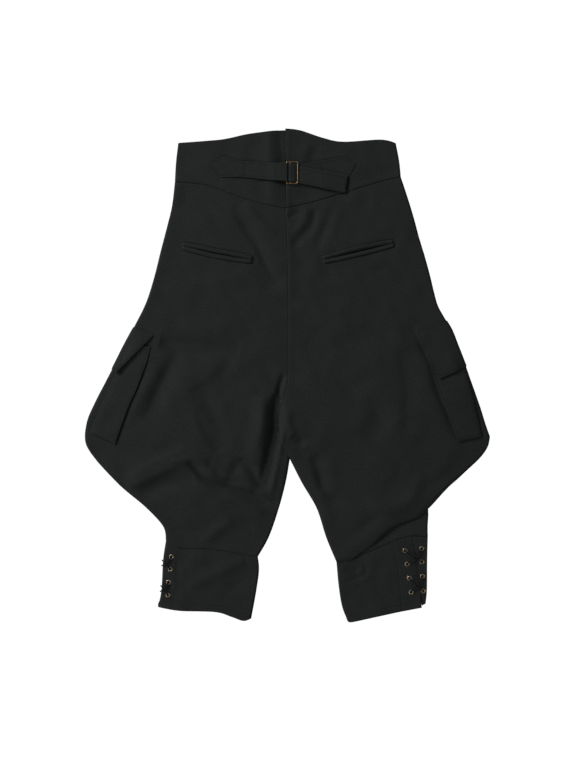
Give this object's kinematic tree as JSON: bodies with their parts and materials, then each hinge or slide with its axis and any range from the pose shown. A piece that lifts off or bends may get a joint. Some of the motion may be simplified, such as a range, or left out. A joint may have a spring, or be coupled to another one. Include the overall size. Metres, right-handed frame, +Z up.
{
  "type": "laced breeches",
  "caption": "Black wool breeches with winged thighs, a cinch-back yoke, cargo pockets and laced cuffs, laid flat on their front with the back uppermost",
  "frame": {"origin": "on the floor, under the middle of the garment's box", "axes": "+Y runs from the cuffs to the waist, +Z up from the floor to the back side, +X to the right as seen from above"},
  "size_m": [0.7222, 0.8791, 0.0155],
  "materials": {
    "cloth": "black felted wool twill",
    "lace": "black waxed cord",
    "brass": "old brass"
  },
  "bodies": {
    "root": {"back_yoke_left": "cloth", "back_yoke_right": "cloth", "back_left": "cloth", "back_right": "cloth", "back_shin_right": "cloth", "cuff_back_left": "cloth", "cuff_back_right": "cloth", "cuff_front_left": "cloth", "cuff_front_right": "cloth", "front_yoke_left": "cloth", "front_yoke_right": "cloth", "front_left": "cloth", "front_right": "cloth", "fly_placket": "cloth", "welt_upper_left": "cloth", "welt_lower_left": "cloth", "welt_upper_right": "cloth", "welt_lower_right": "cloth", "cargo_pocket_left": "cloth", "cargo_pocket_right": "cloth", "cargo_flap_left": "cloth", "cargo_flap_right": "cloth", "cinch_tab_left": "cloth", "cinch_strap_right": "cloth", "buckle": "brass", "eyelet_left_1": "brass", "eyelet_left_2": "brass", "eyelet_left_3": "brass", "eyelet_left_4": "brass", "eyelet_right_1": "brass", "eyelet_right_2": "brass", "eyelet_right_3": "brass", "eyelet_right_4": "brass", "eyelet_front_1": "brass", "eyelet_front_2": "brass", "eyelet_front_3": "brass", "eyelet_front_4": "brass", "lace_left_upper_under": "lace", "lace_left_upper_over": "lace", "lace_left_lower_under": "lace", "lace_left_lower_over": "lace", "lace_right_upper_under": "lace", "lace_right_upper_over": "lace", "lace_right_lower_under": "lace", "lace_right_lower_over": "lace"}
  },
  "joints": []
}
